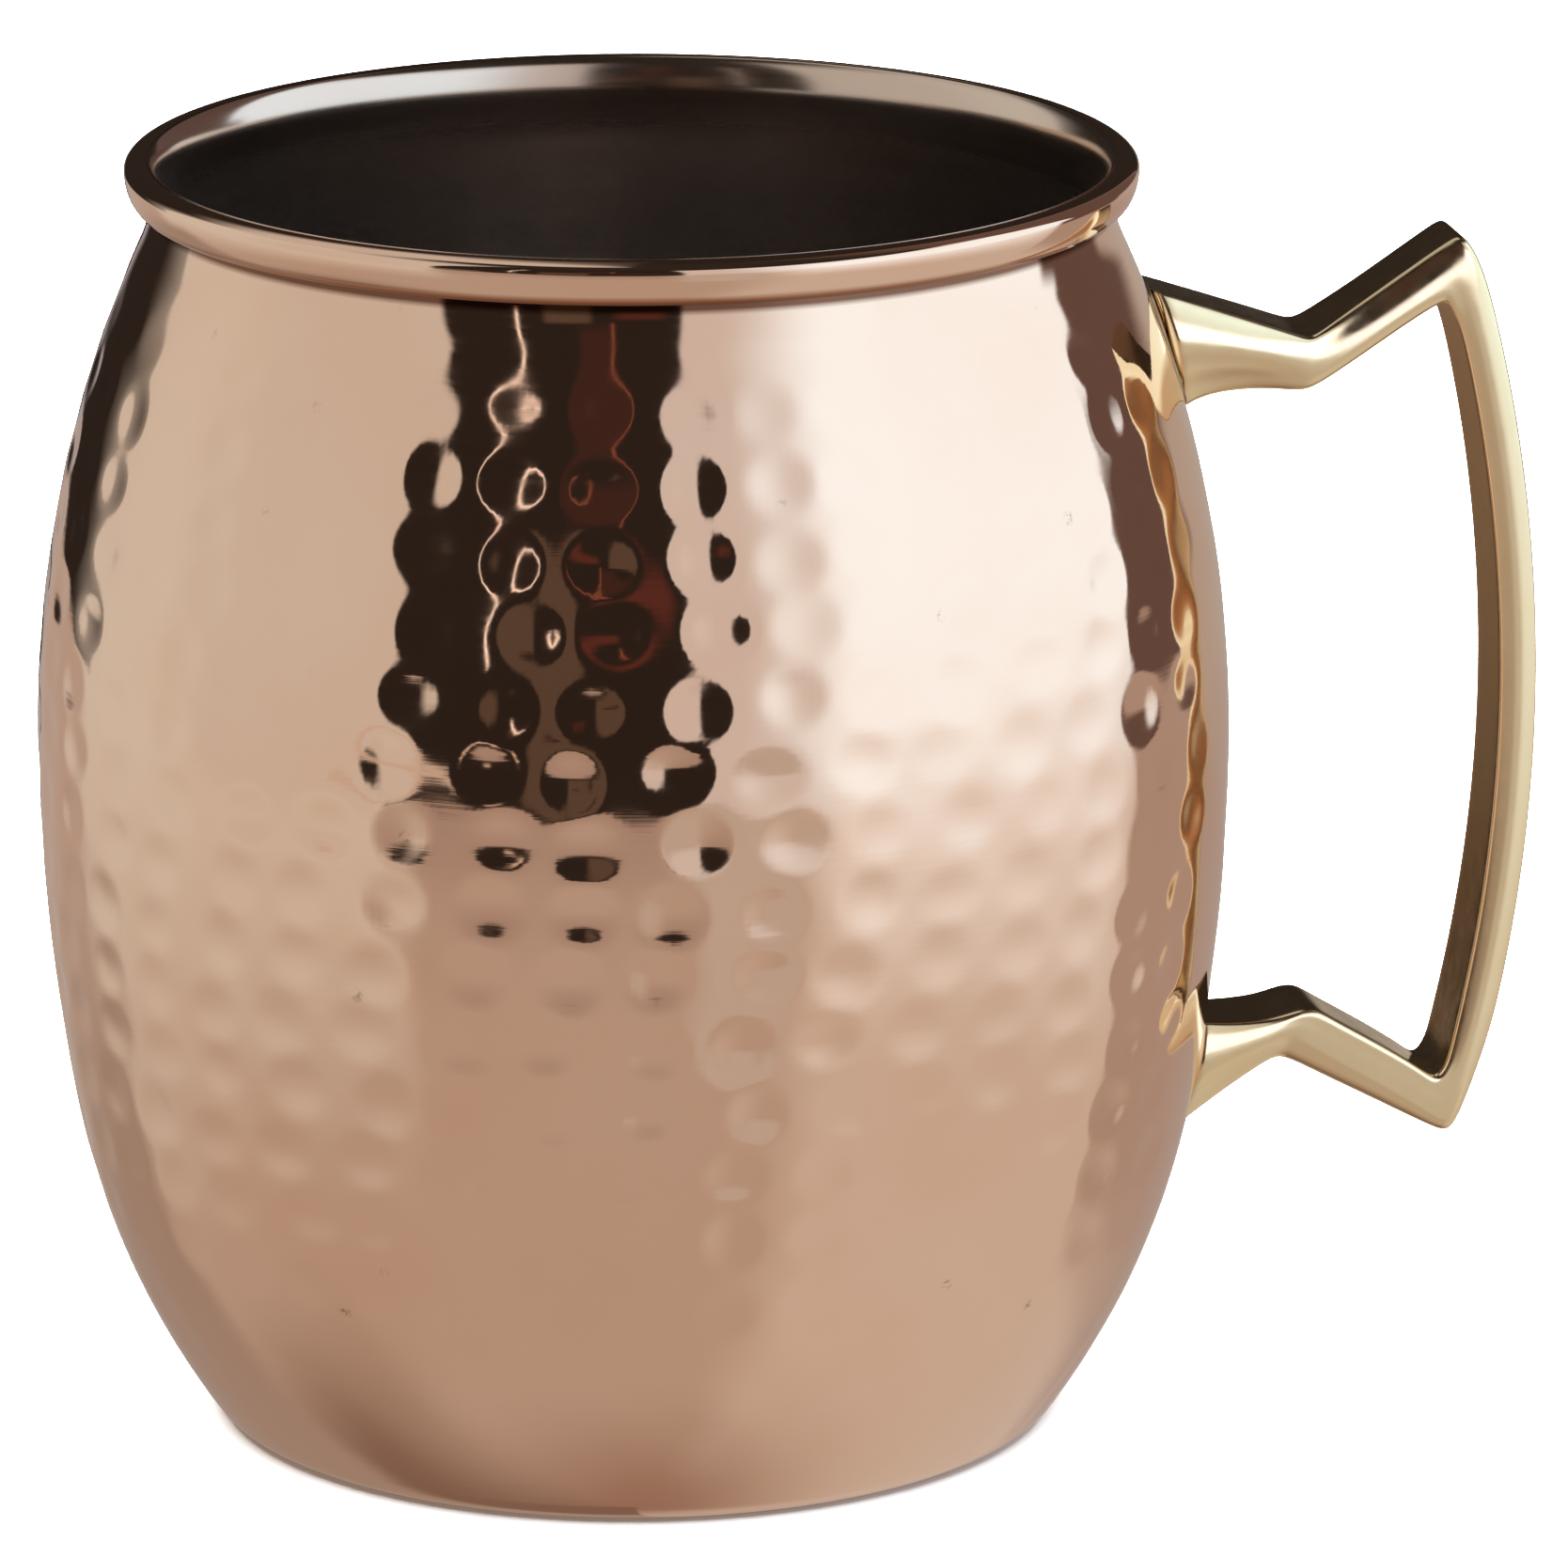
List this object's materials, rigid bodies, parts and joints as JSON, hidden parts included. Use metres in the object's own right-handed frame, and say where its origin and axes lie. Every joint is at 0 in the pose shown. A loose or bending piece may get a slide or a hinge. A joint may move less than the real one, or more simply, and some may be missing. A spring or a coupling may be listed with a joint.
{
  "type": "copper mug",
  "caption": "Barrel-shaped hammered copper mug with a rolled rim, a plated inside and an angular brass strap handle.",
  "frame": {"origin": "centre of the flat base's underside, on the cup's axis", "axes": "+Z along the cup's axis out of its mouth, +X from the axis towards the handle, +Y to the side"},
  "size_m": [0.117, 0.0922, 0.0994],
  "materials": {
    "copper": "polished hammered copper",
    "nickel_plate": "bright nickel plate",
    "cast_brass": "cast and softly polished",
    "braze_filler": "flowed and buffed"
  },
  "bodies": {
    "root": {"mug_body": "copper", "nickel_lining": "nickel_plate", "handle": "cast_brass", "upper_braze": "braze_filler", "lower_braze": "braze_filler"}
  },
  "joints": []
}
